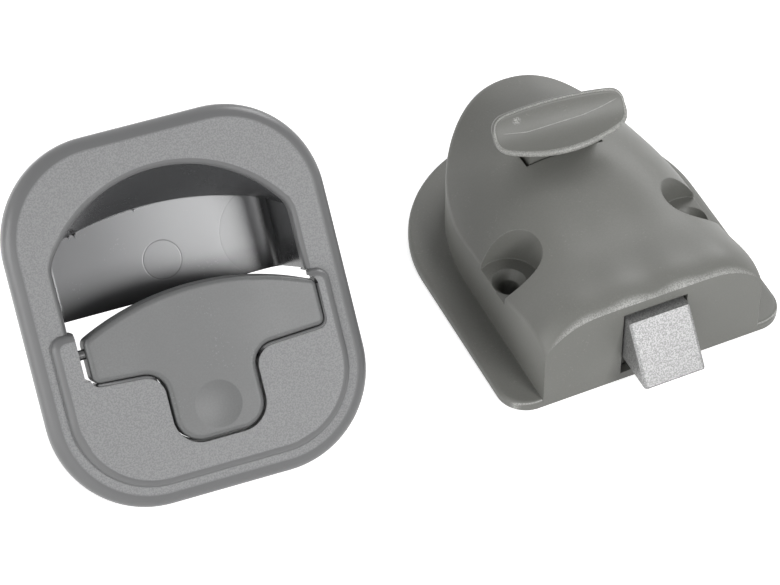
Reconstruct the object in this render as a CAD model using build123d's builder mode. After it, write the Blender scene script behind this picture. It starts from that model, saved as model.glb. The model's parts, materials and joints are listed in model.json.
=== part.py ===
from build123d import *
from math import atan2, cos, degrees, radians, sin, sqrt
import os

os.makedirs("parts", exist_ok=True)

# Case flange, the foot of the inner half. The row's origin is on its underside, midway between the two
# fixing screws, with the bolt pointing along -Y and the case's width along X
screw_backset = 27.0
flange_half_width = 36.2
flange_straight = 47.4
flange_corner = 7.1
flange_thickness = 2.3
flange_edge_round = 1.0

# Case hood: a crown that is broad and flat in front and turns into a round back further on, cut off by
# upright walls that close in an oval arch. Each station gives its distance from the front, the height of
# the crown, half the width of its flat middle and the drop from there to the crown's outermost line
hood_half_width = 28.0
hood_straight = 41.0
arch_length = 38.1
crown_half_width = 31.4
crown_stations = (
    (0.0, 24.3, 14.0, 18.0),
    (20.0, 24.8, 12.4, 19.8),
    (30.0, 25.9, 9.6, 22.8),
    (41.0, 28.3, 5.9, 27.2),
    (55.0, 28.6, 1.6, 32.2),
    (67.0, 26.4, 1.0, 34.0),
    (80.0, 25.4, 1.0, 34.0),
)
crown_points = (0.0, 0.2, 0.4, 0.6, 0.8, 0.93)
hood_wall = 2.2
crown_edge_round = 2.0
above_crown = 50.0

# Wells for the two fixing screws
screw_spacing = 47.6
well_radius = 7.5
well_floor = 14.0
well_wall = 1.8
screw_hole_radius = 2.4
countersink_radius = 4.1
screw_tower_radius = 4.6

# Back plate and the small screws that hold it in the case
plate_thickness = 1.5
plate_fit = 0.15
boss_radius = 3.0
front_boss_x = 20.0
front_boss_back = 8.5
rear_boss_x = 18.5
rear_boss_back = 54.0
plate_screw_radius = 1.1
plate_screw_length = 8.0
plate_head_radius = 1.9
plate_head_height = 0.8
release_window_width = 9.0
release_window_length = 12.0
release_window_back = 38.0

# Latch bolt and its opening in the front wall
bolt_width = 15.6
bolt_fit = 0.35
bolt_top = 20.5
bolt_bottom = 7.6
bolt_nose = 11.15
bolt_nose_height = 8.1
bolt_shoulder = 2.0
bolt_tail = 22.0
bolt_edge_round = 0.8
mouth_sill = 2.25
mouth_fit = 1.1
guide_wall = 2.0
guide_length = 28.0

# Slide under the bolt, with the block that carries the paddle
slide_floor_gap = 0.4
slide_front = 2.6
slide_half_width = 12.5
slide_shoulder_back = 33.0
slide_tail = 58.0
slide_block_front = 45.0
slide_block_top = 18.5
slide_ramp_length = 10.0
bolt_pin_radius = 1.5
bolt_pin_back = 12.0
bolt_pin_top = 15.0
latch_travel = 10.0

# Bolt spring on its guide behind the slide
spring_height = 11.0
spring_radius = 3.4
spring_wire = 0.8
spring_turns = 7
guide_rod_radius = 2.3
guide_rod_length = 7.0
guide_rod_seat = 3.0
guide_rod_round = 0.8
spring_end_gap = 0.15

# Thumb paddle: a hollowed leaf that faces forwards and up, turned a little on its post
paddle_back = 47.7
paddle_height = 37.5
paddle_side = -0.8
paddle_turn = -10.6
paddle_tilt = 45.0
paddle_roll = 4.0
leaf_half_length = 16.2
leaf_top_middle = 6.2
leaf_top_end = 4.8
leaf_low_middle = 6.7
leaf_low_end = 3.0
leaf_end_radius = 3.6
leaf_hollow_radius = 11.5
leaf_thickness = 2.4
leaf_edge_round = 0.9
post_half_width = 9.0
post_thickness = 5.6
post_front_back = 46.9
slot_fit = 1.0
paddle_screw_radius = 1.5
paddle_screw_length = 20.0
paddle_screw_head_radius = 2.9
paddle_screw_head_height = 1.4

# Handle bezel, the outer half, in its own coordinates: x across, y up the door, z out of the door
bezel_width = 74.5
bezel_height = 84.3
bezel_corner = 23.2
bezel_face = 4.8
rim_round = 3.2
plateau_rise = 2.2
plateau_half_width = 32.6
plateau_bottom = -37.5
plateau_top = 0.9
plateau_corner = 19.0
plateau_arm_corner = 3.0
plateau_round = 1.9
opening_half_width = 27.8
opening_spring = 16.0
opening_apex = 31.6
opening_round = 1.4
opening_corner = 6.0
slot_left = -27.0
slot_bottom = -10.2

# Rocker lever, a T that swings on a pin through its head
lever_left = -25.4
lever_right = 28.9
lever_crown = 4.7
lever_shoulder = -1.45
lever_crown_x = 2.0
lever_under_left = -11.2
lever_under_right = -11.6
stem_left = -9.65
stem_right = 11.1
stem_bottom = -29.6
stem_root = -12.4
stem_fillet = 5.0
stem_corner = 6.0
lever_end_corner = 1.8
lever_top = 7.3
lever_thickness = 6.0
lever_edge_round = 1.2
lever_seam = 0.5
lever_under_seam = 0.75
dish_x = 0.7
dish_y = -22.6
dish_radius = 5.4
dish_depth = 0.45
pivot_y = -4.3
pivot_z = 4.8
pin_radius = 1.15
pin_fit = 0.05
pin_left = -30.3
pin_right = 31.6
lever_swing = 25.0
swing_room_top = 0.9
swing_room_depth = 4.6
nose_y = -13.4
nose_radius = 1.6
nose_half_width = 2.5
nose_drop = 0.8

# Finger cup behind the arch
cup_depth = 19.5
cup_wall = 1.5
cup_bottom = 1.3
cup_back_half_width = 27.4
cup_back_spring = 17.5
cup_back_apex = 22.6
cup_front_gap = 0.4
cup_back_round = 3.6
cup_flange = 2.8
cup_flange_thickness = 1.4
cup_seat = 1.6
cup_seat_fit = 0.2

# Drive sleeve, plunger and spring behind the lever. The handle leans on the sleeve's rear end
sleeve_y = -9.0
sleeve_radius = 6.0
sleeve_reach = 29.6
sleeve_front = 6.5
sleeve_plate = 2.0
sleeve_plate_half_width = 20.2
sleeve_plate_top = -3.0
sleeve_ear_bottom = -21.2
sleeve_ear_inner = 13.4
plunger_radius = 3.5
plunger_fit = 0.1
plunger_head_radius = 5.8
plunger_head_thickness = 1.5
plunger_gap = 0.2
plunger_travel = 4.8
plunger_tip = 24.2
plunger_tip_chamfer = 0.8
sleeve_counterbore = 4.95
sleeve_counterbore_depth = 6.0
sleeve_rear_counterbore_depth = 7.6
plunger_spring_radius = 4.25
plunger_spring_wire = 0.6
plunger_spring_turns = 6
clip_radius = 4.6
clip_thickness = 0.8
clip_groove_depth = 0.5
clip_gap = 0.15
clip_mouth = 6.0
ear_screw_x = 17.0
ear_screw_y = -18.2
ear_boss_radius = 2.9
ear_screw_radius = 1.0
ear_screw_length = 6.5
ear_head_radius = 2.1
ear_head_height = 1.3

# Posts at the back of the bezel with threaded inserts for the fixing screws
post_y = -23.0
post_radius = 3.7
post_length = 14.0
insert_radius = 2.6
insert_bore = 1.65
insert_length = 9.0

# Where the handle lies beside the case, and how it is turned
handle_side = -102.46
handle_spot_back = 8.59
handle_turn = -4.4

# Places worked out from the sizes above
front = -screw_backset
bolt_half = bolt_width / 2
mouth_half = bolt_half + bolt_fit
mouth_top = bolt_top + mouth_fit
slide_bottom = plate_thickness + slide_floor_gap
slide_top = bolt_bottom
lever_under = lever_top - lever_thickness
sleeve_foot = bezel_height / 2 + sleeve_y - sleeve_radius
handle_tilt = degrees(atan2(sleeve_reach, sleeve_foot))
plunger_face = lever_under - nose_drop - plunger_gap
cup_back = -cup_depth
cup_front = cup_seat - cup_flange_thickness
cup_inner_half = opening_half_width + cup_front_gap
cup_inner_apex = opening_apex + cup_front_gap
cup_flange_half = cup_inner_half + cup_wall + cup_flange
cup_flange_apex = cup_inner_apex + cup_wall + cup_flange
dish_ball = (dish_radius**2 + dish_depth**2) / (2 * dish_depth)
paddle_screw_foot = slide_bottom + slide_floor_gap
paddle_screw_top = paddle_screw_foot + paddle_screw_head_height + paddle_screw_length

width_dir = Vector(1, 0, 0).rotate(Axis.Z, handle_turn)
face_dir = Vector(0, -sin(radians(handle_tilt)), cos(radians(handle_tilt))).rotate(Axis.Z, handle_turn)
rise_dir = face_dir.cross(width_dir)
handle_spot = Vector(handle_side, front + handle_spot_back, 0)
handle_back = Plane(handle_spot + rise_dir * (bezel_height / 2), x_dir=width_dir, z_dir=face_dir)
handle_z = Axis(handle_back.origin, handle_back.z_dir)
handle_y = Axis(handle_back.origin, handle_back.y_dir)


def across(x):
    """Plane square to the handle's width at x; its sketch coordinates are the handle's y and z."""
    corner = handle_back.from_local_coords((x, 0, 0))
    return Plane(corner, x_dir=handle_back.y_dir, z_dir=handle_back.x_dir)


def upright(y):
    """Plane across the case at y; its sketch coordinates are x and z."""
    return Plane.XZ.offset(-y)


def hood_plan(inset, foot):
    """Sketch of the hood seen from above, moved in by the inset: straight sides and an oval arch behind."""
    with BuildSketch(Plane.XY.offset(foot), mode=Mode.PRIVATE) as plan:
        with Locations((0, front + (hood_straight + inset) / 2)):
            Rectangle(2 * (hood_half_width - inset), hood_straight - inset)
        with Locations((0, front + hood_straight)):
            Ellipse(hood_half_width - inset, arch_length - inset)
    return plan.sketch


def crown_form(inset):
    """Crown lofted through its stations, lowered by the inset and cut off by the hood's walls."""
    with BuildPart() as crown:
        for back, height, flat, drop in crown_stations:
            arc = []
            for share in crown_points:
                x = share * crown_half_width
                slope = max(x - flat, 0) / (crown_half_width - flat)
                arc.append((x, height - inset - drop * (1 - sqrt(1 - slope**2))))
            left = [(-x, z) for x, z in reversed(arc[1:])]
            with BuildSketch(upright(front + back)):
                with BuildLine():
                    Spline(left + arc)
                    Polyline(arc[-1], (arc[-1][0], 0), (left[0][0], 0), left[0])
                make_face()
        loft()
        with BuildSketch(Plane.XY):
            add(hood_plan(inset, 0))
        extrude(amount=above_crown, mode=Mode.INTERSECT)
    return crown.part


# Case housing with its flange, wells, bolt mouth, paddle slot and the bosses inside
slot_front = post_front_back - slot_fit / 2
slot_length = post_thickness + latch_travel + slot_fit
plate_bosses = [
    (side * boss_x, front + back)
    for boss_x, back in ((front_boss_x, front_boss_back), (rear_boss_x, rear_boss_back))
    for side in (-1, 1)
]
wells = [(-screw_spacing / 2, 0), (screw_spacing / 2, 0)]

with BuildPart() as case_cavity:
    add(crown_form(hood_wall))
    with BuildSketch(Plane.XY):
        with Locations(*wells):
            Circle(well_radius + well_wall)
    extrude(amount=above_crown, mode=Mode.SUBTRACT)
    with BuildSketch(Plane.XY.offset(plate_thickness)):
        with Locations(*plate_bosses):
            Circle(boss_radius)
        guide_centre = front + hood_wall + guide_length / 2
        for side in (-1, 1):
            with Locations((side * (mouth_half + guide_wall / 2), guide_centre)):
                Rectangle(guide_wall, guide_length)
    extrude(amount=above_crown, mode=Mode.SUBTRACT)

with BuildPart() as hood:
    add(crown_form(0))
    crown_face = hood.faces().sort_by(Axis.Z)[-1]
    fillet(crown_face.edges().sort_by(Axis.Y)[1:], crown_edge_round)

with BuildPart() as case_housing:
    with BuildSketch(Plane.XY) as flange_outline:
        with Locations((0, front + flange_straight / 2)):
            Rectangle(2 * flange_half_width, flange_straight)
        with Locations((0, front + flange_straight)):
            Circle(flange_half_width)
        fillet(flange_outline.vertices().group_by(Axis.Y)[0], flange_corner)
    extrude(amount=flange_thickness)
    fillet(case_housing.faces().sort_by(Axis.Z)[-1].edges(), flange_edge_round)
    add(hood.part)
    with BuildSketch(Plane.XY.offset(well_floor)):
        with Locations(*wells):
            Circle(well_radius)
    extrude(amount=above_crown, mode=Mode.SUBTRACT)
    add(case_cavity.part, mode=Mode.SUBTRACT)
    with BuildSketch(Plane.XY):
        add(hood_plan(hood_wall, 0))
        with Locations(*wells):
            Circle(screw_tower_radius, mode=Mode.SUBTRACT)
    extrude(amount=plate_thickness, mode=Mode.SUBTRACT)
    with BuildSketch(upright(front)):
        with Locations((0, (mouth_sill + mouth_top) / 2)):
            Rectangle(2 * mouth_half, mouth_top - mouth_sill)
    extrude(amount=-hood_wall, mode=Mode.SUBTRACT)
    with BuildSketch(Plane.XY.offset(well_floor)):
        with Locations((0, front + slot_front + slot_length / 2)):
            Rectangle(2 * post_half_width + 2 * slot_fit, slot_length)
    extrude(amount=above_crown, mode=Mode.SUBTRACT)
    with Locations(*[(x, y, well_floor) for x, y in wells]):
        CounterSinkHole(screw_hole_radius, countersink_radius, depth=well_floor)
    with Locations(*[(x, y, plate_thickness + plate_screw_length) for x, y in plate_bosses]):
        Hole(plate_screw_radius, depth=plate_screw_length)
case_housing.part.label = "case_housing"
export_step(case_housing.part, "parts/case_housing.step")

# Back plate that closes the case and carries the slide; the window lets the handle's plunger in
with BuildPart() as case_back_plate:
    plate_inset = hood_wall + plate_fit
    with BuildSketch(Plane.XY):
        add(hood_plan(plate_inset, 0))
        with Locations(*wells):
            Circle(screw_tower_radius + plate_fit, mode=Mode.SUBTRACT)
        with Locations((0, front + release_window_back)):
            Rectangle(release_window_width, release_window_length, mode=Mode.SUBTRACT)
    extrude(amount=plate_thickness)
    with Locations(*[(x, y, 0) for x, y in plate_bosses]):
        Hole(plate_screw_radius + plate_fit)
    with BuildSketch(Plane.XY):
        with Locations(*plate_bosses):
            Circle(plate_head_radius + plate_fit)
    extrude(amount=plate_head_height, mode=Mode.SUBTRACT)
case_back_plate.part.label = "case_back_plate"
export_step(case_back_plate.part, "parts/case_back_plate.step")

with BuildPart() as back_plate_screws:
    with BuildSketch(Plane.XY):
        with Locations(*plate_bosses):
            Circle(plate_head_radius)
    extrude(amount=plate_head_height)
    with BuildSketch(Plane.XY.offset(plate_head_height)):
        with Locations(*plate_bosses):
            Circle(plate_screw_radius - pin_fit)
    extrude(amount=plate_screw_length - plate_head_height)
back_plate_screws.part.label = "back_plate_screws"
export_step(back_plate_screws.part, "parts/back_plate_screws.step")

# Latch bolt: a wedge nose in front of the case, a square tail in the guides
with BuildPart() as latch_bolt:
    with BuildSketch(Plane.YZ):
        with BuildLine():
            Polyline(
                (front - bolt_nose, bolt_nose_height),
                (front - bolt_shoulder, bolt_top),
                (front + bolt_tail, bolt_top),
                (front + bolt_tail, bolt_bottom),
                (front - bolt_nose, bolt_bottom),
                close=True,
            )
        make_face()
    extrude(amount=bolt_half, both=True)
    fillet(latch_bolt.faces().filter_by(Axis.X).edges().group_by(Axis.Z)[1:], bolt_edge_round)
    with BuildSketch(Plane.XY.offset(bolt_bottom)):
        with Locations((0, front + bolt_pin_back)):
            Circle(bolt_pin_radius + pin_fit)
    extrude(amount=bolt_pin_top - bolt_bottom, mode=Mode.SUBTRACT)
latch_bolt.part.label = "latch_bolt"
export_step(latch_bolt.part, "parts/latch_bolt.step")

# Slide: a tray under the bolt, wider behind the guides, with a block for the paddle and a ramp below it
with BuildPart() as bolt_slide:
    with BuildSketch(Plane.XY.offset(slide_bottom)):
        with Locations((0, front + (slide_front + slide_tail) / 2)):
            Rectangle(bolt_width, slide_tail - slide_front)
        with Locations((0, front + (slide_shoulder_back + slide_tail) / 2)):
            Rectangle(2 * slide_half_width, slide_tail - slide_shoulder_back)
    extrude(amount=slide_top - slide_bottom)
    with BuildSketch(Plane.XY.offset(slide_top)):
        with Locations((0, front + (slide_block_front + slide_tail) / 2)):
            Rectangle(2 * slide_half_width, slide_tail - slide_block_front)
    extrude(amount=slide_block_top - slide_top)
    with BuildSketch(Plane.YZ):
        ramp_start = front + release_window_back - slide_ramp_length / 2
        with BuildLine():
            Polyline(
                (ramp_start, slide_bottom),
                (ramp_start + slide_ramp_length, slide_bottom),
                (ramp_start, slide_top - slide_floor_gap),
                close=True,
            )
        make_face()
    extrude(amount=release_window_width / 2, both=True, mode=Mode.SUBTRACT)
    with BuildSketch(Plane.XY.offset(slide_bottom)):
        with Locations((0, front + bolt_pin_back)):
            Circle(bolt_pin_radius + pin_fit)
    extrude(amount=slide_top - slide_bottom, mode=Mode.SUBTRACT)
    post_centre = front + post_front_back + post_thickness / 2
    with BuildSketch(Plane.XY.offset(slide_bottom)):
        with Locations((0, post_centre)):
            Circle(paddle_screw_radius + pin_fit)
    extrude(amount=slide_block_top - slide_bottom, mode=Mode.SUBTRACT)
    with BuildSketch(Plane.XY.offset(slide_bottom)):
        with Locations((0, post_centre)):
            Circle(paddle_screw_head_radius + plate_fit)
    extrude(amount=paddle_screw_head_height + slide_floor_gap, mode=Mode.SUBTRACT)
    with BuildSketch(upright(front + slide_tail)):
        with Locations((0, spring_height)):
            Circle(guide_rod_radius)
    extrude(amount=guide_rod_seat, mode=Mode.SUBTRACT)
bolt_slide.part.label = "bolt_slide"
export_step(bolt_slide.part, "parts/bolt_slide.step")

with BuildPart() as bolt_pin:
    with BuildSketch(Plane.XY.offset(slide_bottom)):
        with Locations((0, front + bolt_pin_back)):
            Circle(bolt_pin_radius)
    extrude(amount=bolt_pin_top - slide_bottom - pin_fit)
bolt_pin.part.label = "bolt_pin"
export_step(bolt_pin.part, "parts/bolt_pin.step")

# Guide rod pressed into the slide, and the bolt spring round it
with BuildPart() as spring_guide:
    with BuildSketch(upright(front + slide_tail + guide_rod_length)):
        with Locations((0, spring_height)):
            Circle(guide_rod_radius)
    extrude(amount=guide_rod_seat + guide_rod_length)
    fillet(spring_guide.edges().sort_by(Axis.Y)[-1], guide_rod_round)
spring_guide.part.label = "spring_guide"
export_step(spring_guide.part, "parts/spring_guide.step")

spring_start = front + slide_tail + spring_end_gap + spring_wire / 2
spring_end = front + hood_straight + arch_length - hood_wall - spring_end_gap - spring_wire
spring_travel = spring_end - spring_start
with BuildPart() as bolt_spring:
    with BuildLine() as spring_path:
        Helix(
            pitch=spring_travel / spring_turns,
            height=spring_travel,
            radius=spring_radius,
            center=(0, spring_start, spring_height),
            direction=(0, 1, 0),
        )
    with BuildSketch(Plane(spring_path.line @ 0, z_dir=spring_path.line % 0)):
        Circle(spring_wire / 2)
    sweep()
bolt_spring.part.label = "bolt_spring"
export_step(bolt_spring.part, "parts/bolt_spring.step")

# Thumb paddle: its leaf is cut from a curved shell that faces forwards and up
leaf_tilt = radians(paddle_tilt)
leaf_face_dir = Vector(0, -sin(leaf_tilt), cos(leaf_tilt)).rotate(Axis.Z, paddle_turn)
level_dir = Vector(1, 0, 0).rotate(Axis.Z, paddle_turn)
leaf_width_dir = level_dir.rotate(Axis((0, 0, 0), leaf_face_dir), paddle_roll)
leaf_middle = Vector(paddle_side, front + paddle_back, paddle_height)
leaf_plane = Plane(leaf_middle, x_dir=leaf_width_dir, z_dir=leaf_face_dir)
leaf_section = Plane(leaf_middle, x_dir=leaf_plane.y_dir, z_dir=leaf_width_dir)

with BuildPart() as paddle_leaf:
    with BuildSketch(leaf_section):
        with Locations((0, leaf_hollow_radius)):
            Circle(leaf_hollow_radius + leaf_thickness)
            Circle(leaf_hollow_radius, mode=Mode.SUBTRACT)
    extrude(amount=2 * leaf_half_length, both=True)
    with BuildSketch(leaf_plane.offset(-2 * leaf_thickness)) as leaf_outline:
        with BuildLine():
            tip = leaf_half_length
            ThreePointArc((-tip, leaf_top_end), (0, leaf_top_middle), (tip, leaf_top_end))
            Line((tip, leaf_top_end), (tip, -leaf_low_end))
            ThreePointArc((tip, -leaf_low_end), (0, -leaf_low_middle), (-tip, -leaf_low_end))
            Line((-tip, -leaf_low_end), (-tip, leaf_top_end))
        make_face()
        fillet(leaf_outline.vertices(), leaf_end_radius)
    extrude(amount=leaf_hollow_radius, mode=Mode.INTERSECT)
    leaf_front = paddle_leaf.faces().sort_by(Axis(leaf_middle, leaf_face_dir))[-1]
    leaf_back = paddle_leaf.faces().sort_by(Axis(leaf_middle, leaf_face_dir))[0]
    fillet(leaf_front.edges() + leaf_back.edges(), leaf_edge_round)

with BuildPart() as thumb_paddle:
    with BuildSketch(Plane.XY.offset(slide_block_top)):
        with Locations((0, post_centre)):
            Rectangle(2 * post_half_width, post_thickness)
    extrude(amount=paddle_height - slide_block_top)
    with BuildSketch(leaf_section):
        with Locations((0, leaf_hollow_radius)):
            Circle(leaf_hollow_radius + leaf_thickness / 2)
    extrude(amount=leaf_half_length, both=True, mode=Mode.SUBTRACT)
    add(paddle_leaf.part)
    with BuildSketch(Plane.XY.offset(slide_block_top)):
        with Locations((0, post_centre)):
            Circle(paddle_screw_radius + pin_fit)
    extrude(amount=paddle_screw_top + pin_fit - slide_block_top, mode=Mode.SUBTRACT)
thumb_paddle.part.label = "thumb_paddle"
export_step(thumb_paddle.part, "parts/thumb_paddle.step")

# Screw from under the slide up into the paddle's post
with BuildPart() as paddle_screw:
    with BuildSketch(Plane.XY.offset(paddle_screw_foot)):
        with Locations((0, post_centre)):
            Circle(paddle_screw_head_radius)
    extrude(amount=paddle_screw_head_height)
    with BuildSketch(Plane.XY.offset(paddle_screw_foot + paddle_screw_head_height)):
        with Locations((0, post_centre)):
            Circle(paddle_screw_radius)
    extrude(amount=paddle_screw_length)
paddle_screw.part.label = "paddle_screw"
export_step(paddle_screw.part, "parts/paddle_screw.step")


def lever_outline(grown, grown_under):
    """Sketch of the lever seen from the front: a wide head with a crowned top, and a stem below it."""
    left, right = lever_left - grown, lever_right + grown
    crown, shoulder = lever_crown + grown, lever_shoulder + grown
    low_left, low_right = lever_under_left - grown_under, lever_under_right - grown_under
    foot_left, foot_right = stem_left - grown, stem_right + grown
    foot, root = stem_bottom - grown, stem_root - grown_under
    with BuildSketch(mode=Mode.PRIVATE) as outline:
        with BuildLine():
            ThreePointArc((left, shoulder), (lever_crown_x, crown), (right, shoulder))
            FilletPolyline(
                (right, shoulder),
                (right, low_right),
                (foot_right, root),
                (foot_right, foot),
                (foot_left, foot),
                (foot_left, root),
                (left, low_left),
                (left, shoulder),
                radius=[
                    lever_end_corner + grown,
                    stem_fillet - grown,
                    stem_corner + grown,
                    stem_corner + grown,
                    stem_fillet - grown,
                    lever_end_corner + grown,
                ],
            )
        make_face()
        fillet(outline.vertices().group_by(Axis.Y)[-1], lever_end_corner + grown)
    return outline.sketch


def arch_outline(half_width, spring, apex, foot):
    """Sketch of the arch: upright sides down to the foot, and a flat arc from spring to apex."""
    with BuildSketch(mode=Mode.PRIVATE) as outline:
        with BuildLine():
            ThreePointArc((half_width, spring), (0, apex), (-half_width, spring))
            Polyline((-half_width, spring), (-half_width, foot), (half_width, foot), (half_width, spring))
        make_face()
    return outline.sketch


post_spots = [(side * screw_spacing / 2, post_y) for side in (-1, 1)]
ear_spots = [(side * ear_screw_x, ear_screw_y) for side in (-1, 1)]

# Bezel of the handle: a rounded rim, a raised plateau round the lever, the arch and the posts behind
with BuildPart() as handle_bezel:
    with BuildSketch(handle_back):
        RectangleRounded(bezel_width, bezel_height, bezel_corner)
    extrude(amount=bezel_face)
    fillet(handle_bezel.faces().sort_by(handle_z)[-1].edges(), rim_round)
    with BuildSketch(handle_back) as opening:
        add(arch_outline(opening_half_width, opening_spring, opening_apex, plateau_top))
        fillet(opening.vertices().group_by(Axis.Y)[-1], opening_corner)
    extrude(amount=bezel_face, mode=Mode.SUBTRACT)
    mouth_edges = handle_bezel.faces().sort_by(handle_z)[-1].inner_wires()[0].edges().sort_by(handle_y)
    fillet(mouth_edges[1:], opening_round)
    with BuildSketch(handle_back):
        seat_half = cup_flange_half + cup_seat_fit
        add(arch_outline(seat_half, opening_spring, cup_flange_apex + cup_seat_fit, cup_bottom))
    extrude(amount=cup_seat, mode=Mode.SUBTRACT)
    with BuildSketch(handle_back.offset(bezel_face)) as plateau:
        plateau_height = plateau_top - plateau_bottom
        with Locations((0, (plateau_top + plateau_bottom) / 2)):
            Rectangle(2 * plateau_half_width, plateau_height)
        fillet(plateau.vertices().group_by(Axis.Y)[0], plateau_corner)
        fillet(plateau.vertices().group_by(Axis.Y)[-1], plateau_arm_corner)
    extrude(amount=plateau_rise)
    fillet(handle_bezel.faces().sort_by(handle_z)[-1].edges(), plateau_round)
    with BuildSketch(handle_back):
        with Locations(((opening_half_width + slot_left) / 2, (plateau_top + slot_bottom) / 2)):
            Rectangle(opening_half_width - slot_left, plateau_top - slot_bottom)
        add(lever_outline(lever_seam, lever_under_seam))
    extrude(amount=bezel_face + plateau_rise, mode=Mode.SUBTRACT)
    with BuildSketch(handle_back):
        room_right = lever_right + lever_seam
        with Locations(((opening_half_width + room_right) / 2, (lever_shoulder + swing_room_top) / 2)):
            Rectangle(room_right - opening_half_width, swing_room_top - lever_shoulder)
    extrude(amount=swing_room_depth, mode=Mode.SUBTRACT)
    with BuildSketch(handle_back):
        with Locations(*post_spots):
            Circle(post_radius)
    extrude(amount=-post_length)
    with BuildSketch(handle_back):
        with Locations(*ear_spots):
            Circle(ear_boss_radius)
    extrude(amount=-sleeve_front)
    with BuildSketch(handle_back.offset(-post_length)):
        with Locations(*post_spots):
            Circle(insert_radius)
    extrude(amount=insert_length, mode=Mode.SUBTRACT)
    with BuildSketch(handle_back.offset(-sleeve_front)):
        with Locations(*ear_spots):
            Circle(ear_screw_radius + pin_fit)
    extrude(amount=ear_screw_length, mode=Mode.SUBTRACT)
    with BuildSketch(across(pin_left)):
        with Locations((pivot_y, pivot_z)):
            Circle(pin_radius + pin_fit)
    extrude(amount=pin_right - pin_left, mode=Mode.SUBTRACT)
handle_bezel.part.label = "handle_bezel"
export_step(handle_bezel.part, "parts/handle_bezel.step")

# Finger cup: it narrows backwards behind the arch and is open below, so that fingers reach the lever
with BuildPart() as cup_hollow:
    with BuildSketch(handle_back.offset(cup_seat)):
        add(arch_outline(cup_inner_half, opening_spring, cup_inner_apex, cup_bottom - cup_wall))
    with BuildSketch(handle_back.offset(cup_back)):
        add(arch_outline(cup_back_half_width, cup_back_spring, cup_back_apex, cup_bottom - cup_wall))
    loft()
    hollow_back = cup_hollow.faces().sort_by(handle_z)[0]
    fillet(hollow_back.edges().filter_by(GeomType.LINE).sort_by(handle_y)[1:], cup_back_round)

with BuildPart() as finger_cup:
    with BuildSketch(handle_back.offset(cup_front)):
        outer_apex = cup_inner_apex + cup_wall
        add(arch_outline(cup_inner_half + cup_wall, opening_spring, outer_apex, cup_bottom))
    with BuildSketch(handle_back.offset(cup_back - cup_wall)):
        outer_back = cup_back_half_width + cup_wall
        add(arch_outline(outer_back, cup_back_spring, cup_back_apex + cup_wall, cup_bottom))
    loft()
    cup_rear = finger_cup.faces().sort_by(handle_z)[0]
    side_edges = cup_rear.edges().filter_by(GeomType.LINE).sort_by(handle_y)[1:]
    fillet(side_edges, cup_back_round + cup_wall)
    with BuildSketch(handle_back.offset(cup_front)):
        add(arch_outline(cup_flange_half, opening_spring, cup_flange_apex, cup_bottom))
    extrude(amount=cup_flange_thickness)
    add(cup_hollow.part, mode=Mode.SUBTRACT)
finger_cup.part.label = "finger_cup"
export_step(finger_cup.part, "parts/finger_cup.step")

# Rocker lever with a shallow thumb dish, a nose that pushes the plunger, and the bore for its pin
with BuildPart() as rocker_lever:
    with BuildSketch(handle_back.offset(lever_under)):
        add(lever_outline(0, 0))
    extrude(amount=lever_thickness)
    fillet(rocker_lever.faces().sort_by(handle_z)[-1].edges(), lever_edge_round)
    with BuildSketch(across(-nose_half_width)):
        with Locations((nose_y, lever_under - nose_drop + nose_radius)):
            Circle(nose_radius)
    extrude(amount=2 * nose_half_width)
    dish_centre = handle_back.from_local_coords((dish_x, dish_y, lever_top - dish_depth + dish_ball))
    with Locations(dish_centre):
        Sphere(dish_ball, mode=Mode.SUBTRACT)
    with BuildSketch(across(pin_left)):
        with Locations((pivot_y, pivot_z)):
            Circle(pin_radius + pin_fit)
    extrude(amount=pin_right - pin_left, mode=Mode.SUBTRACT)
rocker_lever.part.label = "rocker_lever"
export_step(rocker_lever.part, "parts/rocker_lever.step")

with BuildPart() as lever_pin:
    with BuildSketch(across(pin_left)):
        with Locations((pivot_y, pivot_z)):
            Circle(pin_radius)
    extrude(amount=pin_right - pin_left)
lever_pin.part.label = "lever_pin"
export_step(lever_pin.part, "parts/lever_pin.step")

# Drive sleeve on a plate with two ears; its bore has a step for the spring in front and the clip behind
plunger_bore = plunger_radius + plunger_fit
with BuildPart() as drive_sleeve:
    plate_bottom = sleeve_y - sleeve_radius
    with BuildSketch(handle_back.offset(-sleeve_front)):
        with Locations((0, (sleeve_plate_top + plate_bottom) / 2)):
            Rectangle(2 * sleeve_plate_half_width, sleeve_plate_top - plate_bottom)
        ear_width = sleeve_plate_half_width - sleeve_ear_inner
        for side in (-1, 1):
            ear_middle = side * (sleeve_ear_inner + ear_width / 2)
            with Locations((ear_middle, (plate_bottom + sleeve_ear_bottom) / 2)):
                Rectangle(ear_width, plate_bottom - sleeve_ear_bottom)
        with Locations(*ear_spots):
            Circle(ear_screw_radius + plate_fit, mode=Mode.SUBTRACT)
    extrude(amount=-sleeve_plate)
    with BuildSketch(handle_back.offset(-sleeve_front)):
        with Locations((0, sleeve_y)):
            Circle(sleeve_radius)
    extrude(amount=sleeve_front - sleeve_reach)
    with BuildSketch(handle_back.offset(-sleeve_front)):
        with Locations((0, sleeve_y)):
            Circle(plunger_bore)
    extrude(amount=sleeve_front - sleeve_reach, mode=Mode.SUBTRACT)
    with BuildSketch(handle_back.offset(-sleeve_front)):
        with Locations((0, sleeve_y)):
            Circle(sleeve_counterbore)
    extrude(amount=-sleeve_counterbore_depth, mode=Mode.SUBTRACT)
    with BuildSketch(handle_back.offset(-sleeve_reach)):
        with Locations((0, sleeve_y)):
            Circle(sleeve_counterbore)
    extrude(amount=sleeve_rear_counterbore_depth, mode=Mode.SUBTRACT)
drive_sleeve.part.label = "drive_sleeve"
export_step(drive_sleeve.part, "parts/drive_sleeve.step")

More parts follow.
